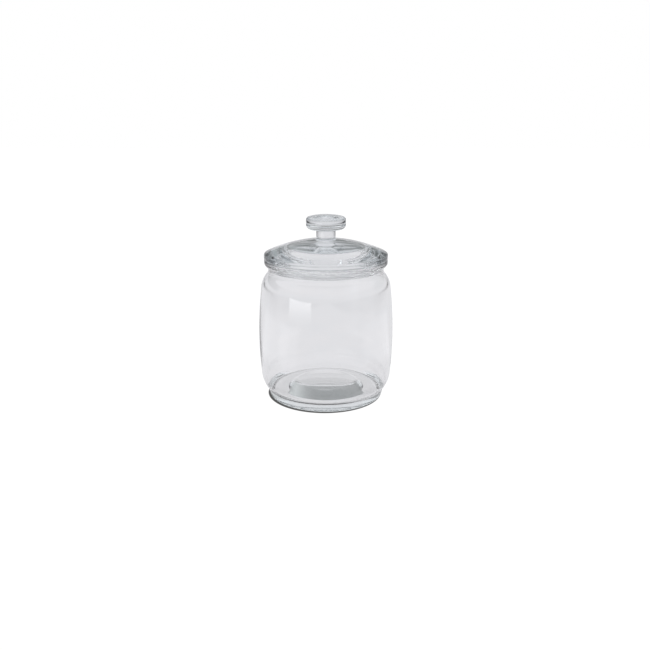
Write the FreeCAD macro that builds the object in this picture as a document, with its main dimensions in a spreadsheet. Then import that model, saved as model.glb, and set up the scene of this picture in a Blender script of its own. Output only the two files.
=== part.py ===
"""Lidded glass canister: a blown glass jar with a moulded foot, a pressed glass lid
with a knob in one piece, and a soft clear sealing ring on the lid's plug.

Frame: millimetres, +Z up, the origin at the centre of the foot's resting face.
Every piece is turned about Z, so each is a closed half-profile in the XZ plane,
revolved a full turn. The driving sizes are in the sheet "dims".
"""

import FreeCAD
import Part
import Sketcher

import math
import os

V = FreeCAD.Vector
doc = FreeCAD.newDocument("glass_canister")

# ---------------------------------------------------------------- driving sizes
SIZES = [
    # jar, outside, from the foot up
    ("foot_radius", 64.0),          # the foot at the surface that it rests on
    ("foot_round", 0.7),            # rounded outer edge of the foot
    ("crease_radius", 66.25),       # crease where the heel would meet the foot's leaning side
    ("crease_height", 8.75),
    ("crease_fillet", 2.2),         # concave round in the crease
    ("recess_radius", 52.0),        # shallow recess under the base
    ("recess_height", 0.4),
    ("recess_fillet", 6.0),         # rounded inner edge of the resting ring
    ("heel_curve", 30.0),
    ("body_curve", 460.0),          # the body's slight barrel
    ("body_radius", 75.0),          # widest
    ("body_mid", 67.0),             # height of the widest point
    ("shoulder_curve", 24.0),
    ("neck_radius", 63.4),          # narrowest, outside
    ("neck_height", 143.0),
    ("neck_curve", 6.5),
    ("lip_radius", 67.7),
    ("lip_curve", 4.0),
    ("lip_round", 1.4),
    ("lip_top", 154.4),
    # jar, inside
    ("mouth_radius", 59.8),
    ("mouth_curve", 10.0),          # flare from the mouth into the shoulder
    ("wall", 3.3),
    ("floor_corner", 14.9),
    ("floor_height", 6.6),
    ("rise_radius", 42.9),          # pillow-shaped rise of the floor: where its flank would meet the floor
    ("rise_height", 9.5),
    ("rise_sphere", 209.0),         # its crown
    ("rise_edge", 19.8),            # its flank
    ("rise_fillet", 0.5),           # its foot
    # lid
    ("seat_gap", 0.2),              # lid rim above the jar's lip
    ("rim_radius", 67.8),
    ("rim_round_low", 1.2),
    ("rim_round_top", 2.2),
    ("dome_sphere", 156.5),
    ("dome_top", 176.1),            # the dome's crown, inside the stem
    ("ceiling_top", 165.5),         # underside of the dome, at the axis
    ("ceiling_sphere", 260.0),
    ("plug_radius", 56.4),
    ("plug_depth", 11.2),
    ("plug_inner", 46.0),
    ("plug_round", 1.4),
    ("plug_bead", 0.55),            # bead that keeps the ring on the plug
    ("bead_height", 1.6),
    ("plug_fillet", 8.0),
    # knob
    ("stem_radius", 10.6),
    ("stem_fillet", 1.1),
    ("knob_radius", 21.7),
    ("knob_under", 187.2),          # underside of the knob
    ("knob_fillet", 2.2),
    ("knob_round_low", 4.8),
    ("knob_round_top", 3.6),
    ("knob_sphere", 80.0),
    ("knob_top", 202.8),
    # sealing ring
    ("ring_clear", 0.05),           # running clearance on the plug
    ("ring_band", 1.15),            # thickness of the ring's band
    ("ring_fin", 1.8),              # how far each fin stands out of the band
    ("fin_root", 1.0),
    ("fin_tip", 0.45),
    ("fin_pitch", 2.4),
    ("ring_low", 145.95),
    ("ring_high", 153.2),
]
dims = doc.addObject("Spreadsheet::Sheet", "dims")
for i, (alias, value) in enumerate(SIZES, start=1):
    dims.set("A%d" % i, alias)
    dims.set("B%d" % i, repr(float(value)))
    dims.setAlias("B%d" % i, alias)
doc.recompute()
S = {alias: float(getattr(dims, alias)) for alias, _ in SIZES}


# ---------------------------------------------------------------- plane geometry helpers
def circles_meet(c1, d1, c2, d2, near):
    """The point at d1 from c1 and d2 from c2 that is nearest to near."""
    dx, dy = c2[0] - c1[0], c2[1] - c1[1]
    d = math.hypot(dx, dy)
    a = (d1 * d1 - d2 * d2 + d * d) / (2 * d)
    q = math.sqrt(d1 * d1 - a * a)
    mx, my = c1[0] + a * dx / d, c1[1] + a * dy / d
    found = [(mx + q * dy / d, my - q * dx / d), (mx - q * dy / d, my + q * dx / d)]
    return min(found, key=lambda p: math.hypot(p[0] - near[0], p[1] - near[1]))


def line_meets(x, c, d, near_z):
    """The point on the upright line at x that is d from c, nearest to near_z."""
    q = math.sqrt(d * d - (x - c[0]) ** 2)
    return min([(x, c[1] + q), (x, c[1] - q)], key=lambda p: abs(p[1] - near_z))


def level_meets(z, c, d, near_x):
    """The point on the level line at z that is d from c, nearest to near_x."""
    q = math.sqrt(d * d - (z - c[1]) ** 2)
    return min([(c[0] + q, z), (c[0] - q, z)], key=lambda p: abs(p[0] - near_x))


def slope_meets(a, b, out, c, d):
    """The point at out to the right of the line from a to b that is d from c, nearest to b."""
    n = math.hypot(b[0] - a[0], b[1] - a[1])
    ux, uz = (b[0] - a[0]) / n, (b[1] - a[1]) / n
    sx, sz = a[0] + out * uz - c[0], a[1] - out * ux - c[1]
    along = sx * ux + sz * uz
    q = math.sqrt(along * along - (sx * sx + sz * sz - d * d))
    t = min([-along - q, -along + q], key=lambda v: abs(v - n))
    return (c[0] + sx + t * ux, c[1] + sz + t * uz)


def towards(c, p, r):
    """The point r from c in the direction of p."""
    d = math.hypot(p[0] - c[0], p[1] - c[1])
    return (c[0] + r * (p[0] - c[0]) / d, c[1] + r * (p[1] - c[1]) / d)


class Profile:
    """A closed half-profile on a body's XZ plane: a chain of lines and arcs, each
    joined to the next at its end, with sizes bound to the sheet."""

    def __init__(self, name):
        self.body = doc.addObject("PartDesign::Body", name)
        self.body.Label = name
        self.sketch = self.body.newObject("Sketcher::SketchObject", name + "_profile")
        plane = [f for f in self.body.Origin.OriginFeatures if f.Role == "XZ_Plane"][0]
        self.sketch.AttachmentSupport = [(plane, "")]
        self.sketch.MapMode = "FlatFace"
        self.ends = []              # (geometry index, position of its first end, of its last)
        self.first = None
        self.at = None

    def start(self, p):
        self.first = self.at = p

    def line(self, p):
        a, b = V(self.at[0], self.at[1], 0), V(p[0], p[1], 0)
        n = self.sketch.addGeometry(Part.LineSegment(a, b), False)
        self.ends.append((n, 1, 2))
        self.at = p
        return n

    def arc(self, p, c, ccw):
        """From here to p about c, the way ccw says as the chain is followed."""
        a = math.atan2(self.at[1] - c[1], self.at[0] - c[0])
        b = math.atan2(p[1] - c[1], p[0] - c[0])
        circle = Part.Circle(V(c[0], c[1], 0), V(0, 0, 1), math.hypot(p[0] - c[0], p[1] - c[1]))
        if ccw:
            n = self.sketch.addGeometry(Part.ArcOfCircle(circle, a, b if b > a else b + 2 * math.pi), False)
            self.ends.append((n, 1, 2))
        else:
            n = self.sketch.addGeometry(Part.ArcOfCircle(circle, b, a if a > b else a + 2 * math.pi), False)
            self.ends.append((n, 2, 1))
        self.at = p
        return n

    def close(self, corners=()):
        """Joins the chain end to end: smoothly, or at a corner after each geometry in corners."""
        count = len(self.ends)
        for i in range(count):
            a, b = self.ends[i], self.ends[(i + 1) % count]
            kind = "Coincident" if a[0] in corners else "Tangent"
            self.sketch.addConstraint(Sketcher.Constraint(kind, a[0], a[2], b[0], b[1]))

    def level(self, n):
        self.sketch.addConstraint(Sketcher.Constraint("Horizontal", n))

    def upright(self, n):
        self.sketch.addConstraint(Sketcher.Constraint("Vertical", n))

    def size(self, kind, *args, to):
        """A dimension bound to an expression over the sheet."""
        i = self.sketch.addConstraint(Sketcher.Constraint(kind, *args))
        name = "%s_%d" % (kind.lower(), i)
        self.sketch.renameConstraint(i, name)
        self.sketch.setExpression("Constraints." + name, to)
        return i

    def radius(self, n, to):
        geo = self.sketch.Geometry[n]
        return self.size("Radius", n, geo.Radius, to=to)

    def x(self, n, pos, to):
        p = self.sketch.getPoint(n, pos)
        return self.size("DistanceX", -1, 1, n, pos, p.x, to=to)

    def z(self, n, pos, to):
        p = self.sketch.getPoint(n, pos)
        return self.size("DistanceY", -1, 1, n, pos, p.y, to=to)

    def on_axis(self, n, pos):
        self.sketch.addConstraint(Sketcher.Constraint("PointOnObject", n, pos, -2))

    def turn(self):
        """Revolves the profile a full turn about Z."""
        doc.recompute()
        left = self.sketch.solve()
        if left != 0:
            raise SystemExit("%s: the profile doesn't solve (%s)" % (self.sketch.Name, left))
        rev = self.body.newObject("PartDesign::Revolution", self.body.Name + "_turned")
        rev.Profile = self.sketch
        rev.ReferenceAxis = (self.sketch, ["V_Axis"])
        rev.Angle = 360.0
        self.sketch.Visibility = False
        doc.recompute()
        return rev


# ================================================================ jar
def make_jar():
    s = S
    foot, fr, cf = s["foot_radius"], s["foot_round"], s["crease_fillet"]
    body_c = (s["body_radius"] - s["body_curve"], s["body_mid"])
    # heel: touches the body's barrel inside and passes the crease above the foot
    crease = (s["crease_radius"], s["crease_height"])
    heel_c = circles_meet(body_c, s["body_curve"] - s["heel_curve"], crease, s["heel_curve"], (42, 30))
    # the foot's side leans out to the crease, from the end of the rounded resting edge
    lean = math.atan2(crease[0] - foot, crease[1])
    edge_c = (foot + fr * math.tan(lean) - fr / math.cos(lean), fr)
    edge_end = (edge_c[0] + fr * math.cos(lean), edge_c[1] - fr * math.sin(lean))
    # concave round in the crease, in the air outside both
    crease_c = slope_meets(edge_end, crease, cf, heel_c, s["heel_curve"] + cf)
    side_end = (crease_c[0] - cf * math.cos(lean), crease_c[1] + cf * math.sin(lean))
    neck_c = (s["neck_radius"] + s["neck_curve"], s["neck_height"])
    shoulder_c = circles_meet(body_c, s["body_curve"] - s["shoulder_curve"], neck_c, s["shoulder_curve"] + s["neck_curve"], (47, 122))
    lip_c = line_meets(s["lip_radius"] - s["lip_curve"], neck_c, s["lip_curve"] + s["neck_curve"], 151.0)
    top, lr = s["lip_top"], s["lip_round"]
    mouth = s["mouth_radius"]
    inner_shoulder = s["shoulder_curve"] - s["wall"]
    inner_body = s["body_curve"] - s["wall"]
    mouth_c = line_meets(mouth + s["mouth_curve"], shoulder_c, inner_shoulder + s["mouth_curve"], 143.0)
    floor, fcr = s["floor_height"], s["floor_corner"]
    floor_c = level_meets(floor + fcr, body_c, inner_body - fcr, 55.0)
    # shallow recess under the base
    rr, rh, rf = s["recess_radius"], s["recess_height"], s["recess_fillet"]
    recess_r = (rr * rr + rh * rh) / (2 * rh)
    recess_c = (0.0, rh - recess_r)
    ring_c = level_meets(rf, recess_c, recess_r + rf, rr)
    # pillow-shaped rise of the floor inside
    crown, flank, rise_f = s["rise_sphere"], s["rise_edge"], s["rise_fillet"]
    rise_top = floor + s["rise_height"]
    crown_c = (0.0, rise_top - crown)
    rise_c = circles_meet(crown_c, crown - flank, (s["rise_radius"], floor), flank, (s["rise_radius"] - flank, floor))
    foot_c = level_meets(floor + rise_f, rise_c, flank + rise_f, s["rise_radius"] + 1)

    p = Profile("jar")
    p.start((0.0, rise_top))
    axis = p.line((0.0, rh))
    recess = p.arc(towards(recess_c, ring_c, recess_r), recess_c, False)
    ring = p.arc((ring_c[0], 0.0), ring_c, True)
    flat = p.line((edge_c[0], 0.0))
    edge = p.arc(edge_end, edge_c, True)
    side = p.line(side_end)
    corner = p.arc(towards(crease_c, heel_c, cf), crease_c, False)
    heel = p.arc(towards(body_c, heel_c, s["body_curve"]), heel_c, True)
    body = p.arc(towards(body_c, shoulder_c, s["body_curve"]), body_c, True)
    shoulder = p.arc(towards(shoulder_c, neck_c, s["shoulder_curve"]), shoulder_c, True)
    neck = p.arc(towards(neck_c, lip_c, s["neck_curve"]), neck_c, False)
    lip = p.arc((s["lip_radius"], lip_c[1]), lip_c, True)
    lip_side = p.line((s["lip_radius"], top - lr))
    lip_out = p.arc((s["lip_radius"] - lr, top), (s["lip_radius"] - lr, top - lr), True)
    lip_flat = p.line((mouth + lr, top))
    lip_in = p.arc((mouth, top - lr), (mouth + lr, top - lr), True)
    bore = p.line((mouth, mouth_c[1]))
    flare = p.arc(towards(mouth_c, shoulder_c, s["mouth_curve"]), mouth_c, True)
    in_shoulder = p.arc(towards(body_c, shoulder_c, inner_body), shoulder_c, False)
    in_body = p.arc(towards(body_c, floor_c, inner_body), body_c, False)
    in_corner = p.arc((floor_c[0], floor), floor_c, False)
    bottom = p.line((foot_c[0], floor))
    rise_foot = p.arc(towards(rise_c, foot_c, flank), foot_c, False)
    rise_side = p.arc(towards(crown_c, rise_c, crown), rise_c, True)
    rise = p.arc((0.0, rise_top), crown_c, True)
    p.close(corners=(axis, rise))

    for n in (flat, lip_flat, bottom):
        p.level(n)
    for n in (lip_side, bore):
        p.upright(n)
    p.on_axis(axis, 1)
    p.on_axis(axis, 2)
    p.on_axis(recess, 3)
    p.on_axis(rise, 3)
    p.z(axis, 1, "dims.floor_height + dims.rise_height")
    p.z(axis, 2, "dims.recess_height")
    p.radius(recess, "(dims.recess_radius * dims.recess_radius + dims.recess_height * dims.recess_height) / (2 * dims.recess_height)")
    p.radius(ring, "dims.recess_fillet")
    p.sketch.addConstraint(Sketcher.Constraint("PointOnObject", flat, 1, -1))
    p.radius(edge, "dims.foot_round")
    p.radius(corner, "dims.crease_fillet")
    p.radius(heel, "dims.heel_curve")
    p.radius(body, "dims.body_curve")
    p.z(body, 3, "dims.body_mid")
    p.x(body, 3, "dims.body_radius - dims.body_curve")
    # the leaning side starts at the foot's radius on the resting face and ends in the crease
    low = p.sketch.addGeometry(Part.Point(V(foot, 0, 0)), True)
    p.sketch.addConstraint(Sketcher.Constraint("PointOnObject", low, 1, -1))
    p.sketch.addConstraint(Sketcher.Constraint("PointOnObject", low, 1, side))
    p.x(low, 1, "dims.foot_radius")
    high = p.sketch.addGeometry(Part.Point(V(crease[0], crease[1], 0)), True)
    p.sketch.addConstraint(Sketcher.Constraint("PointOnObject", high, 1, side))
    p.sketch.addConstraint(Sketcher.Constraint("PointOnObject", high, 1, heel))
    p.x(high, 1, "dims.crease_radius")
    p.z(high, 1, "dims.crease_height")
    p.radius(shoulder, "dims.shoulder_curve")
    p.radius(neck, "dims.neck_curve")
    p.z(neck, 3, "dims.neck_height")
    p.x(neck, 3, "dims.neck_radius + dims.neck_curve")
    p.radius(lip, "dims.lip_curve")
    p.x(lip_side, 1, "dims.lip_radius")
    p.radius(lip_out, "dims.lip_round")
    p.z(lip_flat, 1, "dims.lip_top")
    p.radius(lip_in, "dims.lip_round")
    p.x(bore, 1, "dims.mouth_radius")
    p.radius(flare, "dims.mouth_curve")
    p.radius(in_shoulder, "dims.shoulder_curve - dims.wall")
    p.sketch.addConstraint(Sketcher.Constraint("Coincident", in_shoulder, 3, shoulder, 3))
    p.radius(in_body, "dims.body_curve - dims.wall")
    p.radius(in_corner, "dims.floor_corner")
    p.z(bottom, 1, "dims.floor_height")
    p.radius(rise_foot, "dims.rise_fillet")
    p.radius(rise_side, "dims.rise_edge")
    p.radius(rise, "dims.rise_sphere")
    # the flank's circle passes the floor at the rise's radius
    foot_at = p.sketch.addGeometry(Part.Point(V(s["rise_radius"], floor, 0)), True)
    p.sketch.addConstraint(Sketcher.Constraint("PointOnObject", foot_at, 1, rise_side))
    p.x(foot_at, 1, "dims.rise_radius")
    p.z(foot_at, 1, "dims.floor_height")
    p.turn()
    return p.body


# ================================================================ lid, with its knob
def make_lid():
    s = S
    seat = s["lip_top"] + s["seat_gap"]
    rim, rl, rt = s["rim_radius"], s["rim_round_low"], s["rim_round_top"]
    dome_c = (0.0, s["dome_top"] - s["dome_sphere"])
    # underside of the dome, flatter than its top
    under_dome = s["ceiling_sphere"]
    ceiling_c = (0.0, s["ceiling_top"] - under_dome)
    # rounded top edge of the rim: inside the dome's sphere, against the rim's side
    top_c = line_meets(rim - rt, dome_c, s["dome_sphere"] - rt, 159.0)
    stem, sf = s["stem_radius"], s["stem_fillet"]
    stem_c = line_meets(stem + sf, dome_c, s["dome_sphere"] + sf, 177.0)
    knob, under = s["knob_radius"], s["knob_under"]
    kf, kl, kt = s["knob_fillet"], s["knob_round_low"], s["knob_round_top"]
    crown_c = (0.0, s["knob_top"] - s["knob_sphere"])
    crown_edge = line_meets(knob - kt, crown_c, s["knob_sphere"] - kt, 197.0)
    low = seat - s["plug_depth"]
    plug, pin, pr = s["plug_radius"], s["plug_inner"], s["plug_round"]
    bead, bh = s["plug_bead"], s["bead_height"]
    pf = s["plug_fillet"]
    pf_c = line_meets(pin - pf, ceiling_c, under_dome - pf, 150.0)
    bead_c = (plug + bead - pr, low + pr)

    p = Profile("lid")
    p.start((0.0, s["ceiling_top"]))
    ceiling = p.arc(towards(ceiling_c, pf_c, under_dome), ceiling_c, False)
    cove = p.arc((pin, pf_c[1]), pf_c, False)
    inner = p.line((pin, low + pr))
    low_in = p.arc((pin + pr, low), (pin + pr, low + pr), True)
    foot = p.line((bead_c[0], low))
    low_out = p.arc((plug + bead, low + pr), bead_c, True)
    bead_side = p.line((plug + bead, low + bh))
    bead_top = p.line((plug, low + bh + bead))
    outer = p.line((plug, seat))
    under_rim = p.line((rim - rl, seat))
    rim_low = p.arc((rim, seat + rl), (rim - rl, seat + rl), True)
    rim_side = p.line((rim, top_c[1]))
    rim_top = p.arc(towards(dome_c, top_c, s["dome_sphere"]), top_c, True)
    dome = p.arc(towards(dome_c, stem_c, s["dome_sphere"]), dome_c, True)
    stem_low = p.arc((stem, stem_c[1]), stem_c, False)
    shank = p.line((stem, under - kf))
    stem_top = p.arc((stem + kf, under), (stem + kf, under - kf), False)
    knob_base = p.line((knob - kl, under))
    knob_low = p.arc((knob, under + kl), (knob - kl, under + kl), True)
    knob_side = p.line((knob, crown_edge[1]))
    knob_edge = p.arc(towards(crown_c, crown_edge, s["knob_sphere"]), crown_edge, True)
    crown = p.arc((0.0, s["knob_top"]), crown_c, True)
    axis = p.line((0.0, s["ceiling_top"]))
    p.close(corners=(bead_side, bead_top, outer, crown, axis))

    for n in (foot, under_rim, knob_base):
        p.level(n)
    for n in (inner, outer, bead_side, rim_side, shank, knob_side):
        p.upright(n)
    p.on_axis(axis, 1)
    p.on_axis(axis, 2)
    p.on_axis(ceiling, 3)
    p.on_axis(crown, 3)
    p.on_axis(dome, 3)
    p.z(dome, 3, "dims.dome_top - dims.dome_sphere")
    p.z(axis, 2, "dims.ceiling_top")
    p.radius(dome, "dims.dome_sphere")
    p.radius(ceiling, "dims.ceiling_sphere")
    p.radius(cove, "dims.plug_fillet")
    p.x(inner, 1, "dims.plug_inner")
    p.radius(low_in, "dims.plug_round")
    p.radius(low_out, "dims.plug_round")
    p.z(foot, 1, "dims.lip_top + dims.seat_gap - dims.plug_depth")
    p.x(bead_side, 1, "dims.plug_radius + dims.plug_bead")
    p.z(bead_side, 2, "dims.lip_top + dims.seat_gap - dims.plug_depth + dims.bead_height")
    p.x(outer, 1, "dims.plug_radius")
    p.z(bead_top, 2, "dims.lip_top + dims.seat_gap - dims.plug_depth + dims.bead_height + dims.plug_bead")
    p.z(under_rim, 1, "dims.lip_top + dims.seat_gap")
    p.radius(rim_low, "dims.rim_round_low")
    p.x(rim_side, 1, "dims.rim_radius")
    p.radius(rim_top, "dims.rim_round_top")
    p.radius(stem_low, "dims.stem_fillet")
    p.x(shank, 1, "dims.stem_radius")
    p.radius(stem_top, "dims.knob_fillet")
    p.z(knob_base, 1, "dims.knob_under")
    p.radius(knob_low, "dims.knob_round_low")
    p.x(knob_side, 1, "dims.knob_radius")
    p.radius(knob_edge, "dims.knob_round_top")
    p.radius(crown, "dims.knob_sphere")
    p.z(axis, 1, "dims.knob_top")
    p.turn()
    return p.body


# ================================================================ sealing ring
def make_seal():
    s = S
    inside = s["plug_radius"] + s["ring_clear"]
    band = inside + s["ring_band"]
    tip = band + s["ring_fin"]
    low, high = s["ring_low"], s["ring_high"]
    mid = (low + high) / 2
    p = Profile("sealing_ring")
    p.start((inside, low))
    base = p.line((band, low))
    sides, slopes, tips = [], [], []
    # three level fins, each a little thinner at its tip
    for k in (-1, 0, 1):
        z = mid + k * s["fin_pitch"]
        sides.append(p.line((band, z - s["fin_root"] / 2)))
        slopes.append((p.line((tip, z - s["fin_tip"] / 2)), k, "low"))
        tips.append((p.line((tip, z + s["fin_tip"] / 2)), k))
        slopes.append((p.line((band, z + s["fin_root"] / 2)), k, "high"))
    sides.append(p.line((band, high)))
    top = p.line((inside, high))
    bore = p.line((inside, low))
    every = [e[0] for e in p.ends]
    p.close(corners=every)
    p.level(base)
    p.level(top)
    for n in sides + [bore] + [t[0] for t in tips]:
        p.upright(n)
    p.x(base, 1, "dims.plug_radius + dims.ring_clear")
    p.x(base, 2, "dims.plug_radius + dims.ring_clear + dims.ring_band")
    p.z(base, 1, "dims.ring_low")
    p.z(top, 1, "dims.ring_high")
    centre = "(dims.ring_low + dims.ring_high) / 2"
    for n, k, end in slopes:
        where = "%s + %d * dims.fin_pitch" % (centre, k)
        if end == "low":
            p.z(n, 1, where + " - dims.fin_root / 2")
            p.z(n, 2, where + " - dims.fin_tip / 2")
        else:
            p.z(n, 1, where + " + dims.fin_tip / 2")
            p.z(n, 2, where + " + dims.fin_root / 2")
    for n, k in tips:
        p.x(n, 1, "dims.plug_radius + dims.ring_clear + dims.ring_band + dims.ring_fin")
    # the band's straight stretches between fins stay in line with its base
    for n in sides[1:]:
        p.sketch.addConstraint(Sketcher.Constraint("PointOnObject", n, 2, sides[0]))
    p.turn()
    return p.body


bodies = [make_jar(), make_lid(), make_seal()]
doc.recompute()

# ---------------------------------------------------------------- checks, then the pieces
for obj in doc.Objects:
    if "Invalid" in obj.State or "Error" in obj.State:
        raise SystemExit("%s failed: %s" % (obj.Name, obj.State))
for body in bodies:
    shape = body.Shape
    if shape.isNull() or not shape.isValid() or len(shape.Solids) != 1:
        raise SystemExit("%s: no valid single solid" % body.Label)

os.makedirs("parts", exist_ok=True)
for body in bodies:
    body.Shape.exportStep(os.path.join("parts", body.Label + ".step"))
    b = body.Shape.BoundBox
    print("%-14s volume %9.1f mm3  r %.2f  z %.2f to %.2f" % (body.Label, body.Shape.Volume, b.XMax, b.ZMin, b.ZMax))
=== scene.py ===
"""Looks of the lidded glass canister: a blown glass jar, a pressed glass lid with its knob,
and a soft clear sealing ring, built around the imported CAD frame. Metres, +Z up."""

import math

import bpy
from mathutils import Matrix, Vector


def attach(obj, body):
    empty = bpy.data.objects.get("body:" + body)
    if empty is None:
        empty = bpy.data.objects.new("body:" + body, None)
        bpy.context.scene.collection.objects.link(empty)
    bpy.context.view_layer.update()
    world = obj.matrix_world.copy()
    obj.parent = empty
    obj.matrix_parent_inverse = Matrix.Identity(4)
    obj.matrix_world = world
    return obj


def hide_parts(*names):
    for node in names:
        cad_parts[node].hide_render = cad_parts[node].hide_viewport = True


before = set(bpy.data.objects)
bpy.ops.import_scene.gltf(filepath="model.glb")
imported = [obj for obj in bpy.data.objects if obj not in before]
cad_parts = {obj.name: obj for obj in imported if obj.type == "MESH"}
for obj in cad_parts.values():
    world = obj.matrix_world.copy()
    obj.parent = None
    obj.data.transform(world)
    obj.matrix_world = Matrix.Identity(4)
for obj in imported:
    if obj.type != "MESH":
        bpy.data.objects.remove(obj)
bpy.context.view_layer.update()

MM = 0.001

# ---------------------------------------------------------------- sizes, in millimetres, as in the CAD model
S = dict(
    foot_radius=64.0, foot_round=0.7, crease_radius=66.25, crease_height=8.75, crease_fillet=2.2,
    recess_radius=52.0, recess_height=0.4, recess_fillet=6.0, heel_curve=30.0, body_curve=460.0,
    body_radius=75.0, body_mid=67.0, shoulder_curve=24.0, neck_radius=63.4, neck_height=143.0,
    neck_curve=6.5, lip_radius=67.7, lip_curve=4.0, lip_round=1.4, lip_top=154.4, mouth_radius=59.8,
    mouth_curve=10.0, wall=3.3, floor_corner=14.9, floor_height=6.6, rise_radius=42.9, rise_height=9.5,
    rise_sphere=209.0, rise_edge=19.8, rise_fillet=0.5,
    seat_gap=0.2, rim_radius=67.8, rim_round_low=1.2, rim_round_top=2.2, dome_sphere=156.5,
    dome_top=176.1, ceiling_top=165.5, ceiling_sphere=260.0, plug_radius=56.4, plug_depth=11.2, plug_inner=46.0,
    plug_round=1.4, plug_bead=0.55, bead_height=1.6, plug_fillet=8.0,
    stem_radius=10.6, stem_fillet=1.1, knob_radius=21.7, knob_under=187.2, knob_fillet=2.2,
    knob_round_low=4.8, knob_round_top=3.6, knob_sphere=80.0, knob_top=202.8,
    ring_clear=0.05, ring_band=1.15, ring_fin=1.8, fin_root=1.0, fin_tip=0.45, fin_pitch=2.4,
    ring_low=145.95, ring_high=153.2,
)


# ---------------------------------------------------------------- half-profiles of lines and arcs
def circles_meet(c1, d1, c2, d2, near):
    dx, dy = c2[0] - c1[0], c2[1] - c1[1]
    d = math.hypot(dx, dy)
    a = (d1 * d1 - d2 * d2 + d * d) / (2 * d)
    q = math.sqrt(d1 * d1 - a * a)
    mx, my = c1[0] + a * dx / d, c1[1] + a * dy / d
    found = [(mx + q * dy / d, my - q * dx / d), (mx - q * dy / d, my + q * dx / d)]
    return min(found, key=lambda p: math.hypot(p[0] - near[0], p[1] - near[1]))


def line_meets(x, c, d, near_z):
    q = math.sqrt(d * d - (x - c[0]) ** 2)
    return min([(x, c[1] + q), (x, c[1] - q)], key=lambda p: abs(p[1] - near_z))


def level_meets(z, c, d, near_x):
    q = math.sqrt(d * d - (z - c[1]) ** 2)
    return min([(c[0] + q, z), (c[0] - q, z)], key=lambda p: abs(p[0] - near_x))


def towards(c, p, r):
    d = math.hypot(p[0] - c[0], p[1] - c[1])
    return (c[0] + r * (p[0] - c[0]) / d, c[1] + r * (p[1] - c[1]) / d)


class Chain:
    """Points along a half-profile, each with the name of the stretch it lies on."""

    def __init__(self, p):
        self.points, self.names = [p], ["start"]

    def line(self, p, name, step=1.2):
        a = self.points[-1]
        n = max(1, int(math.ceil(math.hypot(p[0] - a[0], p[1] - a[1]) / step)))
        for i in range(1, n + 1):
            t = i / n
            self.points.append((a[0] + (p[0] - a[0]) * t, a[1] + (p[1] - a[1]) * t))
            self.names.append(name)

    def arc(self, p, c, ccw, name, step=1.2, turn=7.0):
        a = self.points[-1]
        r = math.hypot(a[0] - c[0], a[1] - c[1])
        a0 = math.atan2(a[1] - c[1], a[0] - c[0])
        a1 = math.atan2(p[1] - c[1], p[0] - c[0])
        if ccw:
            while a1 < a0:
                a1 += 2 * math.pi
        else:
            while a1 > a0:
                a1 -= 2 * math.pi
        n = max(2, int(math.ceil(max(r * abs(a1 - a0) / step, math.degrees(abs(a1 - a0)) / turn))))
        for i in range(1, n + 1):
            t = a0 + (a1 - a0) * i / n
            self.points.append((c[0] + r * math.cos(t), c[1] + r * math.sin(t)))
            self.names.append(name)


def slope_meets(a, b, out, c, d):
    """The point at out to the right of the line from a to b that is d from c, nearest to b."""
    n = math.hypot(b[0] - a[0], b[1] - a[1])
    ux, uz = (b[0] - a[0]) / n, (b[1] - a[1]) / n
    sx, sz = a[0] + out * uz - c[0], a[1] - out * ux - c[1]
    along = sx * ux + sz * uz
    q = math.sqrt(along * along - (sx * sx + sz * sz - d * d))
    t = min([-along - q, -along + q], key=lambda v: abs(v - n))
    return (c[0] + sx + t * ux, c[1] + sz + t * uz)


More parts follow.
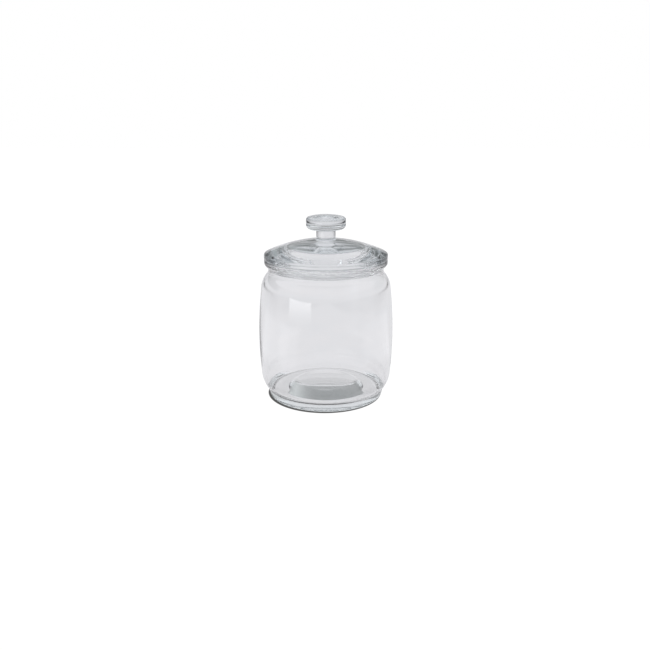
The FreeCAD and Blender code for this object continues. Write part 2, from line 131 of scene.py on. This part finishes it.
def jar_profile():
    s = S
    foot, fr, cf = s["foot_radius"], s["foot_round"], s["crease_fillet"]
    body_c = (s["body_radius"] - s["body_curve"], s["body_mid"])
    crease = (s["crease_radius"], s["crease_height"])
    heel_c = circles_meet(body_c, s["body_curve"] - s["heel_curve"], crease, s["heel_curve"], (42, 30))
    # the foot's side leans out to the crease, from the end of the rounded resting edge
    lean = math.atan2(crease[0] - foot, crease[1])
    edge_c = (foot + fr * math.tan(lean) - fr / math.cos(lean), fr)
    edge_end = (edge_c[0] + fr * math.cos(lean), edge_c[1] - fr * math.sin(lean))
    crease_c = slope_meets(edge_end, crease, cf, heel_c, s["heel_curve"] + cf)
    side_end = (crease_c[0] - cf * math.cos(lean), crease_c[1] + cf * math.sin(lean))
    neck_c = (s["neck_radius"] + s["neck_curve"], s["neck_height"])
    shoulder_c = circles_meet(body_c, s["body_curve"] - s["shoulder_curve"], neck_c, s["shoulder_curve"] + s["neck_curve"], (47, 122))
    lip_c = line_meets(s["lip_radius"] - s["lip_curve"], neck_c, s["lip_curve"] + s["neck_curve"], 151.0)
    top, lr = s["lip_top"], s["lip_round"]
    mouth = s["mouth_radius"]
    inner_shoulder = s["shoulder_curve"] - s["wall"]
    inner_body = s["body_curve"] - s["wall"]
    mouth_c = line_meets(mouth + s["mouth_curve"], shoulder_c, inner_shoulder + s["mouth_curve"], 143.0)
    floor, fcr = s["floor_height"], s["floor_corner"]
    floor_c = level_meets(floor + fcr, body_c, inner_body - fcr, 55.0)
    # the shallow recess under the base
    rr, rh, rf = s["recess_radius"], s["recess_height"], s["recess_fillet"]
    recess_r = (rr * rr + rh * rh) / (2 * rh)
    recess_c = (0.0, rh - recess_r)
    ring_c = level_meets(rf, recess_c, recess_r + rf, rr)
    # the pillow-shaped rise of the floor inside
    crown, edge, rise_f = s["rise_sphere"], s["rise_edge"], s["rise_fillet"]
    crown_c = (0.0, floor + s["rise_height"] - crown)
    rise_c = circles_meet(crown_c, crown - edge, (s["rise_radius"], floor), edge, (s["rise_radius"] - edge, floor))
    foot_c = level_meets(floor + rise_f, rise_c, edge + rise_f, s["rise_radius"] + 1)
    k = Chain((0.0, rh))
    k.arc(towards(recess_c, ring_c, recess_r), recess_c, False, "recess", 4.0)
    k.arc((ring_c[0], 0.0), ring_c, True, "ring_edge", 0.3)
    k.line((edge_c[0], 0.0), "rest", 1.3)
    k.arc(edge_end, edge_c, True, "foot_edge", 0.2, 11.0)
    k.line(side_end, "foot", 1.1)
    k.arc(towards(crease_c, heel_c, cf), crease_c, False, "crease", 0.15)
    k.arc(towards(body_c, heel_c, s["body_curve"]), heel_c, True, "heel", 1.2, 4.0)
    k.arc(towards(body_c, shoulder_c, s["body_curve"]), body_c, True, "body", 4.0)
    k.arc(towards(shoulder_c, neck_c, s["shoulder_curve"]), shoulder_c, True, "shoulder", 0.9, 4.5)
    k.arc(towards(neck_c, lip_c, s["neck_curve"]), neck_c, False, "neck", 0.7, 9.0)
    k.arc((s["lip_radius"], lip_c[1]), lip_c, True, "lip", 0.4, 5.0)
    k.line((s["lip_radius"], top - lr), "lip", 0.5)
    k.arc((s["lip_radius"] - lr, top), (s["lip_radius"] - lr, top - lr), True, "lip_edge", 0.25, 10.0)
    k.line((mouth + lr, top), "lip_top", 1.5)
    k.arc((mouth, top - lr), (mouth + lr, top - lr), True, "lip_edge", 0.25, 10.0)
    k.line((mouth, mouth_c[1]), "in_mouth", 1.6)
    k.arc(towards(mouth_c, shoulder_c, s["mouth_curve"]), mouth_c, True, "in_neck", 0.8, 6.0)
    k.arc(towards(body_c, shoulder_c, inner_body), shoulder_c, False, "in_shoulder", 0.9, 4.5)
    k.arc(towards(body_c, floor_c, inner_body), body_c, False, "in_body", 4.0)
    k.arc((floor_c[0], floor), floor_c, False, "in_corner", 1.0, 4.5)
    k.line((foot_c[0], floor), "in_floor", 2.0)
    k.arc(towards(rise_c, foot_c, edge), foot_c, False, "rise_foot", 0.12)
    k.arc(towards(crown_c, rise_c, crown), rise_c, True, "rise_edge", 0.8, 4.0)
    k.arc((0.0, floor + s["rise_height"]), crown_c, True, "rise", 2.2)
    return k


def lid_profile():
    s = S
    seat = s["lip_top"] + s["seat_gap"]
    rim, rl, rt = s["rim_radius"], s["rim_round_low"], s["rim_round_top"]
    dome_c = (0.0, s["dome_top"] - s["dome_sphere"])
    ceiling = s["ceiling_sphere"]
    ceiling_c = (0.0, s["ceiling_top"] - ceiling)
    top_c = line_meets(rim - rt, dome_c, s["dome_sphere"] - rt, 159.0)
    stem, sf = s["stem_radius"], s["stem_fillet"]
    stem_c = line_meets(stem + sf, dome_c, s["dome_sphere"] + sf, 177.0)
    knob, under = s["knob_radius"], s["knob_under"]
    kf, kl, kt = s["knob_fillet"], s["knob_round_low"], s["knob_round_top"]
    crown_c = (0.0, s["knob_top"] - s["knob_sphere"])
    crown_edge = line_meets(knob - kt, crown_c, s["knob_sphere"] - kt, 197.0)
    low = seat - s["plug_depth"]
    plug, pin, pr = s["plug_radius"], s["plug_inner"], s["plug_round"]
    bead, bh = s["plug_bead"], s["bead_height"]
    pf = s["plug_fillet"]
    pf_c = line_meets(pin - pf, ceiling_c, ceiling - pf, 150.0)
    bead_c = (plug + bead - pr, low + pr)
    k = Chain((0.0, s["ceiling_top"]))
    k.arc(towards(ceiling_c, pf_c, ceiling), ceiling_c, False, "ceiling", 2.0)
    k.arc((pin, pf_c[1]), pf_c, False, "cove", 0.65, 6.0)
    k.line((pin, low + pr), "plug_in", 1.5)
    k.arc((pin + pr, low), (pin + pr, low + pr), True, "plug_edge", 0.25, 10.0)
    k.line((bead_c[0], low), "plug_foot", 1.6)
    k.arc((plug + bead, low + pr), bead_c, True, "plug_edge", 0.25, 10.0)
    k.line((plug + bead, low + bh), "bead", 0.3)
    k.line((plug, low + bh + bead), "bead", 0.25)
    k.line((plug, seat), "plug", 1.6)
    k.line((rim - rl, seat), "seat", 1.6)
    k.arc((rim, seat + rl), (rim - rl, seat + rl), True, "rim_edge", 0.2)
    k.line((rim, top_c[1]), "rim", 0.5)
    k.arc(towards(dome_c, top_c, s["dome_sphere"]), top_c, True, "rim_edge", 0.2)
    k.arc(towards(dome_c, stem_c, s["dome_sphere"]), dome_c, True, "dome", 1.8)
    k.arc((stem, stem_c[1]), stem_c, False, "stem_foot", 0.2)
    k.line((stem, under - kf), "stem", 1.2)
    k.arc((stem + kf, under), (stem + kf, under - kf), False, "stem_head", 0.25, 9.0)
    k.line((knob - kl, under), "knob_under", 1.2)
    k.arc((knob, under + kl), (knob - kl, under + kl), True, "knob_edge", 0.4)
    k.line((knob, crown_edge[1]), "knob_side", 1.0)
    k.arc(towards(crown_c, crown_edge, s["knob_sphere"]), crown_edge, True, "knob_edge", 0.4)
    k.arc((0.0, s["knob_top"]), crown_c, True, "knob_top", 1.4)
    return k


def ring_profile():
    s = S
    inside = s["plug_radius"] + s["ring_clear"]
    band = inside + s["ring_band"]
    tip = band + s["ring_fin"]
    low, high = s["ring_low"], s["ring_high"]
    mid = (low + high) / 2
    k = Chain((inside, low))
    k.line((band, low), "band", 0.4)
    for i in (-1, 0, 1):
        z = mid + i * s["fin_pitch"]
        k.line((band, z - s["fin_root"] / 2), "band", 0.4)
        k.line((tip, z - s["fin_tip"] / 2), "fin", 0.3)
        k.line((tip, z + s["fin_tip"] / 2), "fin", 0.2)
        k.line((band, z + s["fin_root"] / 2), "fin", 0.3)
    k.line((band, high), "band", 0.4)
    k.line((inside, high), "band", 0.4)
    k.line((inside, low), "bore", 0.8)
    k.points.pop()
    k.names.pop()
    return k


def turned(name, chain, around, shift=None, loop=False):
    """A closed mesh: the half-profile turned about Z. shift(name, r, z, angle) gives a small
    move of a point (dr, dz) in millimetres."""
    pts, names = chain.points, chain.names
    verts, faces, rings = [], [], []
    for (r, z), part in zip(pts, names):
        if r < 1e-6 and not loop:
            rings.append([len(verts)])
            verts.append((0.0, 0.0, z * MM))
            continue
        ring = []
        for j in range(around):
            a = 2 * math.pi * j / around
            dr, dz = shift(part, r, z, a) if shift else (0.0, 0.0)
            ring.append(len(verts))
            verts.append(((r + dr) * MM * math.cos(a), (r + dr) * MM * math.sin(a), (z + dz) * MM))
        rings.append(ring)
    zones = []
    count = len(rings)
    for i in range(count if loop else count - 1):
        a, b = rings[i], rings[(i + 1) % count]
        zone = names[(i + 1) % count]
        for j in range(around):
            k = (j + 1) % around
            if len(a) == 1:
                faces.append((a[0], b[k], b[j]))
            elif len(b) == 1:
                faces.append((a[j], a[k], b[0]))
            else:
                faces.append((a[j], a[k], b[k], b[j]))
            zones.append(zone)
    me = bpy.data.meshes.new(name)
    me.from_pydata(verts, [], faces)
    me.update()
    for p in me.polygons:
        p.use_smooth = True
    ob = bpy.data.objects.new(name, me)
    bpy.context.scene.collection.objects.link(ob)
    return ob, zones


def ease(v, start, end):
    t = min(1.0, max(0.0, (v - start) / (end - start)))
    return t * t * (3 - 2 * t)


def bump_at(a, centre, r, width):
    """A ridge of the given width in millimetres along the circle of radius r."""
    d = (a - centre + math.pi) % (2 * math.pi) - math.pi
    return math.exp(-(d * r / width) ** 2)


KNURLS = 84
JAR_OUTSIDE = {"foot", "crease", "heel", "body", "shoulder", "neck", "lip"}


def jar_detail(part, r, z, a):
    dr = dz = 0.0
    if part == "in_body":
        # the inner wall of blown glass runs in slow waves
        fade = ease(z, 24, 48) * ease(z, 121, 98)
        dr += fade * (0.05 * math.sin(3 * a + 0.8 + z / 37) + 0.035 * math.sin(5 * a - 1.9 - z / 29) + 0.015 * math.sin(11 * a + z / 53))
    if part == "foot_edge" or (part == "rest" and r > 61.4):
        # knurls pressed into the resting edge
        t = (0.5 + 0.5 * math.cos(KNURLS * a)) ** 2 * ease(r, 61.4, 62.8)
        dz += 0.26 * t * (1 - ease(z, 0.0, 0.6))
        dr -= 0.12 * t * ease(z, 0.0, 0.3) * (1 - ease(z, 0.4, 0.75))
    if part in JAR_OUTSIDE:
        # the two faint seams of the mould
        fade = ease(z, 0.9, 4) * ease(z, 152, 146)
        dr += 0.03 * fade * (bump_at(a, 0.13, r, 0.6) + bump_at(a, math.pi + 0.13, r, 0.6))
    return dr, dz


def lid_detail(part, r, z, a):
    dr = dz = 0.0
    if part in ("dome", "ceiling"):
        fade = ease(r, 13, 24) * ease(r, 64 if part == "dome" else 38, 54 if part == "dome" else 30)
        dz += fade * 0.04 * (math.sin(3 * a + 1.1 + r / 19) + 0.6 * math.sin(5 * a - 0.4 - r / 13))
    if part == "rim":
        # three small ticks left by the parts of the mould
        for k in range(3):
            dr += 0.28 * bump_at(a, math.radians(-138.3 + 120 * k), r, 0.8)
    return dr, dz


def ring_detail(part, r, z, a):
    # soft fins never lie quite flat
    return (0.0, 0.07 * math.sin(6 * a + 0.5) + 0.04 * math.sin(11 * a - 1.3)) if part == "fin" else (0.0, 0.0)


jar, _ = turned("glass_jar", jar_profile(), 336, jar_detail)
lid, _ = turned("glass_lid", lid_profile(), 336, lid_detail)
ring, _ = turned("soft_ring", ring_profile(), 288, ring_detail, loop=True)


# ---------------------------------------------------------------- materials
def calc(nt, op, *values):
    """A math node; each value is a number or another node's output."""
    n = nt.nodes.new("ShaderNodeMath")
    n.operation = op
    for socket, v in zip(n.inputs, values):
        if isinstance(v, (int, float)):
            socket.default_value = v
        else:
            nt.links.new(v, socket)
    return n.outputs[0]


def vector(nt, op, a, b=None, out="Vector"):
    n = nt.nodes.new("ShaderNodeVectorMath")
    n.operation = op
    for socket, v in zip(n.inputs, (a, b)):
        if v is None:
            continue
        if isinstance(v, tuple):
            socket.default_value = v
        else:
            nt.links.new(v, socket)
    return n.outputs[out]


def step(nt, value, start, end, low=0.0, high=1.0):
    """A smooth step of value from low at start to high at end."""
    n = nt.nodes.new("ShaderNodeMapRange")
    n.interpolation_type = "SMOOTHSTEP"
    for name, v in (("From Min", start), ("From Max", end), ("To Min", low), ("To Max", high)):
        n.inputs[name].default_value = v
    nt.links.new(value, n.inputs["Value"])
    return n.outputs[0]


def noise(nt, at, scale, detail=2.0, stretch=None):
    if stretch:
        at = vector(nt, "MULTIPLY", at, stretch)
    n = nt.nodes.new("ShaderNodeTexNoise")
    n.inputs["Scale"].default_value = scale
    n.inputs["Detail"].default_value = detail
    nt.links.new(at, n.inputs["Vector"])
    return n.outputs["Fac"]


def clear(name, ior, absorb, density, tints, rough, wave, grain, worn=0.0, through=1.0):
    """A clear material. tints: two near-white colours that the streaks in it run between;
    rough: least and most roughness; wave and grain: (size of the bump in metres, scale per metre);
    worn: roughness of the rubbed ring that it stands on; through: how much of it is clear."""
    m = bpy.data.materials.new(name)
    m.use_nodes = True
    nt = m.node_tree
    b = nt.nodes["Principled BSDF"]
    out = [n for n in nt.nodes if n.type == "OUTPUT_MATERIAL"][0]
    b.inputs["IOR"].default_value = ior
    b.inputs["Transmission Weight"].default_value = through
    at = nt.nodes.new("ShaderNodeTexCoord").outputs["Object"]
    # streaks drawn out round the axis, as the glass ran in the mould
    streak = step(nt, noise(nt, at, 22.0, 3.0, (1.0, 1.0, 2.6)), 0.35, 0.7)
    tint = nt.nodes.new("ShaderNodeMix")
    tint.data_type = "RGBA"
    nt.links.new(streak, tint.inputs["Factor"])
    tint.inputs["A"].default_value = tints[0]
    tint.inputs["B"].default_value = tints[1]
    nt.links.new(tint.outputs["Result"], b.inputs["Base Color"])
    # handled glass: soft smears, a fine speck of dust in them
    smear = step(nt, noise(nt, at, 34.0, 4.0), 0.45, 0.75, rough[0], rough[1])
    speck = step(nt, noise(nt, at, 900.0, 1.0), 0.62, 0.78, 0.0, (rough[1] - rough[0]) * 0.6)
    finish = calc(nt, "ADD", smear, speck)
    if worn:
        xyz = nt.nodes.new("ShaderNodeSeparateXYZ")
        nt.links.new(at, xyz.inputs[0])
        reach = vector(nt, "LENGTH", vector(nt, "MULTIPLY", at, (1.0, 1.0, 0.0)), out="Value")
        rub = calc(nt, "MULTIPLY", calc(nt, "MULTIPLY", step(nt, xyz.outputs["Z"], 0.0009, 0.0003), step(nt, reach, 0.0615, 0.0625)),
                   step(nt, noise(nt, at, 420.0, 2.0), 0.3, 0.6, 0.35, 1.0))
        finish = calc(nt, "MULTIPLY_ADD", rub, worn, finish)
    nt.links.new(finish, b.inputs["Roughness"])
    normal = None
    for (size, scale), detail in ((wave, 1.0), (grain, 2.0)):
        bump = nt.nodes.new("ShaderNodeBump")
        bump.inputs["Strength"].default_value = 1.0
        bump.inputs["Distance"].default_value = size
        nt.links.new(noise(nt, at, scale, detail), bump.inputs["Height"])
        if normal:
            nt.links.new(normal, bump.inputs["Normal"])
        normal = bump.outputs["Normal"]
    nt.links.new(normal, b.inputs["Normal"])
    v = nt.nodes.new("ShaderNodeVolumeAbsorption")
    v.inputs["Color"].default_value = absorb
    v.inputs["Density"].default_value = density
    nt.links.new(b.outputs[0], out.inputs["Surface"])
    nt.links.new(v.outputs[0], out.inputs["Volume"])
    return m


jar_glass = clear("jar_glass", 1.52, (0.86, 0.90, 0.91, 1), 7.0, ((1.0, 1.0, 1.0, 1), (0.985, 0.99, 0.993, 1)),
                  (0.0, 0.02), (0.00002, 26.0), (0.000001, 300.0), 0.25)
lid_glass = clear("lid_glass", 1.52, (0.84, 0.87, 0.885, 1), 16.0, ((1.0, 1.0, 1.0, 1), (0.98, 0.988, 0.993, 1)),
                  (0.0, 0.02), (0.00002, 40.0), (0.000001, 300.0))
soft = clear("ring_plastic", 1.45, (0.9, 0.9, 0.9, 1), 1.0, ((0.99, 0.99, 0.99, 1), (0.965, 0.968, 0.975, 1)),
             (0.4, 0.55), (0.00008, 120.0), (0.00002, 1400.0), through=0.85)
for ob, mat in ((jar, jar_glass), (lid, lid_glass), (ring, soft)):
    ob.data.materials.append(mat)

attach(jar, "jar")
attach(lid, "lid")
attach(ring, "ring")
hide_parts("jar")
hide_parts("lid")
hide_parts("sealing_ring")

# ---------------------------------------------------------------- stage
me = bpy.data.meshes.new("floor")
q = 6.0
me.from_pydata([(-q, -q, -0.0003), (q, -q, -0.0003), (q, q, -0.0003), (-q, q, -0.0003)], [], [(0, 1, 2, 3)])
floor = bpy.data.objects.new("floor", me)
bpy.context.scene.collection.objects.link(floor)
# pale paper: white to the camera, and a soft grey to the glass; the grey has a painted falloff of light
# to the sides, a painted shade of the jar at its foot and painted pools of light
fm = bpy.data.materials.new("floor_paper")
fm.use_nodes = True
nt = fm.node_tree
nt.nodes.clear()
place = nt.nodes.new("ShaderNodeNewGeometry").outputs["Position"]
around = vector(nt, "MULTIPLY", place, (1.0, 1.0, 0.0))
radius = vector(nt, "LENGTH", around, out="Value")
heading = vector(nt, "NORMALIZE", around)
spread = vector(nt, "LENGTH", vector(nt, "MULTIPLY", place, (1.0, 0.05, 0.0)), out="Value")
# painted falloff of light: the grey paper darkens away to the sides
tone = step(nt, spread, 0.5, 1.1, 0.775, 0.36)
# painted pools of light: brighter patches on the paper to the front left and to both sides
left_pool = calc(nt, "MULTIPLY", step(nt, vector(nt, "DOT_PRODUCT", heading, (-0.866, -0.5, 0.0), "Value"), 0.93, 0.985),
                 calc(nt, "MULTIPLY", step(nt, radius, 0.14, 0.22), step(nt, radius, 0.66, 0.48)))
side_pools = calc(nt, "MULTIPLY", step(nt, vector(nt, "DOT_PRODUCT", vector(nt, "ABSOLUTE", heading), (0.9925, 0.122, 0.0), "Value"), 0.866, 0.951),
                  calc(nt, "MULTIPLY", step(nt, radius, 0.14, 0.22), step(nt, radius, 0.66, 0.48)))
tone = calc(nt, "MULTIPLY_ADD", left_pool, 0.28, tone)
tone = calc(nt, "MULTIPLY_ADD", side_pools, 0.22, tone)
# painted shade of the jar: the paper darkens in a ring round the foot, most to the front and left
painted_contact_shade = calc(nt, "MULTIPLY", calc(nt, "MULTIPLY", step(nt, radius, 0.0600, 0.0615), step(nt, radius, 0.0680, 0.0655)),
               step(nt, vector(nt, "DOT_PRODUCT", place, (-0.42, -0.91, 0.0), "Value"), 0.0, 0.054, 0.0, 0.95))
tone = calc(nt, "MULTIPLY", tone, calc(nt, "SUBTRACT", 1.0, painted_contact_shade))
paper = nt.nodes.new("ShaderNodeEmission")
paper.inputs["Color"].default_value = (0.985, 0.979, 1.008, 1)
nt.links.new(tone, paper.inputs["Strength"])
white_with_painted_shadow = nt.nodes.new("ShaderNodeEmission")
# a painted narrow shadow of the foot, to the front and left, on the white paper the camera sees
shadow = step(nt, vector(nt, "LENGTH", vector(nt, "MULTIPLY", vector(nt, "SUBTRACT", place, (-0.0014, -0.0017, 0.0)), (1.0, 1.0, 0.0)), out="Value"),
              0.0641, 0.0653, 0.1, 1.05)
nt.links.new(shadow, white_with_painted_shadow.inputs["Strength"])
lp = nt.nodes.new("ShaderNodeLightPath")
mix = nt.nodes.new("ShaderNodeMixShader")
out = nt.nodes.new("ShaderNodeOutputMaterial")
nt.links.new(lp.outputs["Is Camera Ray"], mix.inputs[0])
nt.links.new(paper.outputs[0], mix.inputs[1])
nt.links.new(white_with_painted_shadow.outputs[0], mix.inputs[2])
nt.links.new(mix.outputs[0], out.inputs["Surface"])
me.materials.append(fm)


def card(name, at, size, aim, strength, fade=0.0):
    """A glowing card that faces aim; fade dims it towards its lower edge."""
    w2, h2 = size[0] / 2, size[1] / 2
    m = bpy.data.meshes.new(name)
    m.from_pydata([(-w2, -h2, 0), (w2, -h2, 0), (w2, h2, 0), (-w2, h2, 0)], [], [(0, 1, 2, 3)])
    ob = bpy.data.objects.new(name, m)
    bpy.context.scene.collection.objects.link(ob)
    ob.location = at
    ob.rotation_euler = (Vector(aim) - Vector(at)).to_track_quat("Z", "Y").to_euler()
    mat = bpy.data.materials.new(name)
    mat.use_nodes = True
    t = mat.node_tree
    t.nodes.clear()
    e = t.nodes.new("ShaderNodeEmission")
    o = t.nodes.new("ShaderNodeOutputMaterial")
    e.inputs["Color"].default_value = (0.99, 0.99, 1.0, 1)
    if fade:
        xyz = t.nodes.new("ShaderNodeSeparateXYZ")
        t.links.new(t.nodes.new("ShaderNodeTexCoord").outputs["Object"], xyz.inputs[0])
        t.links.new(step(t, xyz.outputs["Y"], -h2, h2, strength * (1 - fade), strength), e.inputs["Strength"])
    else:
        e.inputs["Strength"].default_value = strength
    t.links.new(e.outputs[0], o.inputs["Surface"])
    m.materials.append(mat)
    ob.visible_camera = False
    return ob


def flag(name, start, end, low, high, tones, away=4.0):
    """A curved dark card behind the object, from start to end (degrees to the right of straight
    back) and from low to high (degrees up, seen from the jar's floor). tones: left, middle, right."""
    m = bpy.data.meshes.new(name)
    n = 32
    z0, z1 = (0.015 + away * math.tan(math.radians(v)) for v in (low, high))
    turn = [math.radians(start + (end - start) * i / n) for i in range(n + 1)]
    m.from_pydata([(away * math.sin(t), away * math.cos(t), z) for z in (z0, z1) for t in turn], [],
                  [(i, i + 1, n + 2 + i, n + 1 + i) for i in range(n)])
    ob = bpy.data.objects.new(name, m)
    bpy.context.scene.collection.objects.link(ob)
    mat = bpy.data.materials.new(name)
    mat.use_nodes = True
    t = mat.node_tree
    t.nodes.clear()
    e = t.nodes.new("ShaderNodeEmission")
    o = t.nodes.new("ShaderNodeOutputMaterial")
    e.inputs["Color"].default_value = (0.96, 1.0, 1.0, 1)
    xyz = t.nodes.new("ShaderNodeSeparateXYZ")
    t.links.new(t.nodes.new("ShaderNodeTexCoord").outputs["Object"], xyz.inputs[0])
    t.links.new(calc(t, "ADD", step(t, xyz.outputs["X"], -0.85 * away, -0.3 * away, tones[0], tones[1]),
                     step(t, xyz.outputs["X"], 0.2 * away, 0.8 * away, 0.0, tones[2] - tones[1])), e.inputs["Strength"])
    t.links.new(e.outputs[0], o.inputs["Surface"])
    m.materials.append(mat)
    ob.visible_camera = False
    return ob


card("window_card", (-0.41, -0.44, 0.060), (0.42, 0.10), (0.0, 0.0, 0.09), 2.2, 0.6)
for side in (-1, 1):
    # a low dark card on each side, set back: it draws the dark ends of the knob
    card("side_card_left" if side < 0 else "side_card_right", (0.75 * side, 0.625, 0.0775), (0.95, 0.065), (0.0, 0.625, 0.0775), 0.05)
flag("flag_back", -85, 80, 12, 29, (0.2, 0.25, 0.6))

w = bpy.data.worlds.new("studio")
bpy.context.scene.world = w
w.use_nodes = True
nt = w.node_tree
nt.nodes.clear()
tc = nt.nodes.new("ShaderNodeTexCoord")
sep = nt.nodes.new("ShaderNodeSeparateXYZ")
nt.links.new(tc.outputs["Generated"], sep.inputs[0])
height = calc(nt, "MULTIPLY_ADD", sep.outputs["Z"], 0.5, 0.5)
level = calc(nt, "SQRT", calc(nt, "MAXIMUM", calc(nt, "ADD", calc(nt, "MULTIPLY", sep.outputs["X"], sep.outputs["X"]),
                                              calc(nt, "MULTIPLY", sep.outputs["Y"], sep.outputs["Y"])), 1e-8))
# how much a direction belongs to each wall: the square of its cosine
WALLS = {"back": ("Y", 1.0), "front": ("Y", -1.0), "right": ("X", 1.0), "left": ("X", -1.0)}
tones, total = {}, None
for wall, (axis, sign) in WALLS.items():
    cosine = calc(nt, "MULTIPLY", calc(nt, "DIVIDE", sep.outputs[axis], level), sign)
    share = calc(nt, "POWER", calc(nt, "MAXIMUM", cosine, 0.0), 2.0)
    ramp = nt.nodes.new("ShaderNodeValToRGB")
    nt.links.new(height, ramp.inputs[0])
    tones[wall] = ramp.color_ramp
    scaled = nt.nodes.new("ShaderNodeVectorMath")
    scaled.operation = "SCALE"
    nt.links.new(ramp.outputs[0], scaled.inputs[0])
    nt.links.new(share, scaled.inputs["Scale"])
    total = scaled.outputs[0] if total is None else vector(nt, "ADD", total, scaled.outputs[0])
bg = nt.nodes.new("ShaderNodeBackground")
nt.links.new(total, bg.inputs["Color"])
white = nt.nodes.new("ShaderNodeBackground")
white.inputs["Color"].default_value = (1, 1, 1, 1)
lpw = nt.nodes.new("ShaderNodeLightPath")
mixw = nt.nodes.new("ShaderNodeMixShader")
out = nt.nodes.new("ShaderNodeOutputWorld")
nt.links.new(lpw.outputs["Is Camera Ray"], mixw.inputs[0])
nt.links.new(bg.outputs[0], mixw.inputs[1])
nt.links.new(white.outputs[0], mixw.inputs[2])
nt.links.new(mixw.outputs[0], out.inputs["Surface"])
w.cycles.sampling_method = "NONE"


def set_wall(wall, stops):
    """One wall's tone by height above the horizon, in degrees."""
    r = tones[wall]
    while len(r.elements) > 1:
        r.elements.remove(r.elements[-1])
    for i, (e, v) in enumerate(stops):
        pos = 0.5 + 0.5 * math.sin(math.radians(e))
        el = r.elements[0] if i == 0 else r.elements.new(pos)
        el.position = pos
        el.color = (0.985 * v, 0.982 * v, 1.008 * v, 1)


set_wall("back", [(-90, 0.7), (8, 0.7), (20, 0.7), (40, 0.85), (60, 0.55), (90, 0.5)])
set_wall("front", [(-90, 0.6), (0, 0.65), (12, 1.0), (45, 1.0), (60, 0.9), (90, 0.5)])
set_wall("right", [(-90, 0.7), (8, 0.7), (20, 0.6), (32, 0.9), (52, 0.9), (65, 0.6), (90, 0.5)])
set_wall("left", [(-90, 0.7), (8, 0.7), (20, 0.6), (32, 0.9), (52, 0.9), (65, 0.6), (90, 0.5)])

cam = bpy.data.cameras.new("camera")
cam.sensor_fit = "HORIZONTAL"
cam.sensor_width = 36.0
cam.lens = 38.893
co = bpy.data.objects.new("camera", cam)
bpy.context.scene.collection.objects.link(co)
co.location = (-0.001, -0.7592, 0.3054)
co.rotation_euler = (math.radians(90 - 16.65), 0, 0)
bpy.context.scene.camera = co

sc = bpy.context.scene
sc.view_settings.view_transform = "Standard"
sc.cycles.max_bounces = 24
sc.cycles.transmission_bounces = 24
sc.cycles.glossy_bounces = 12
sc.cycles.transparent_max_bounces = 16
sc.cycles.blur_glossy = 0.0
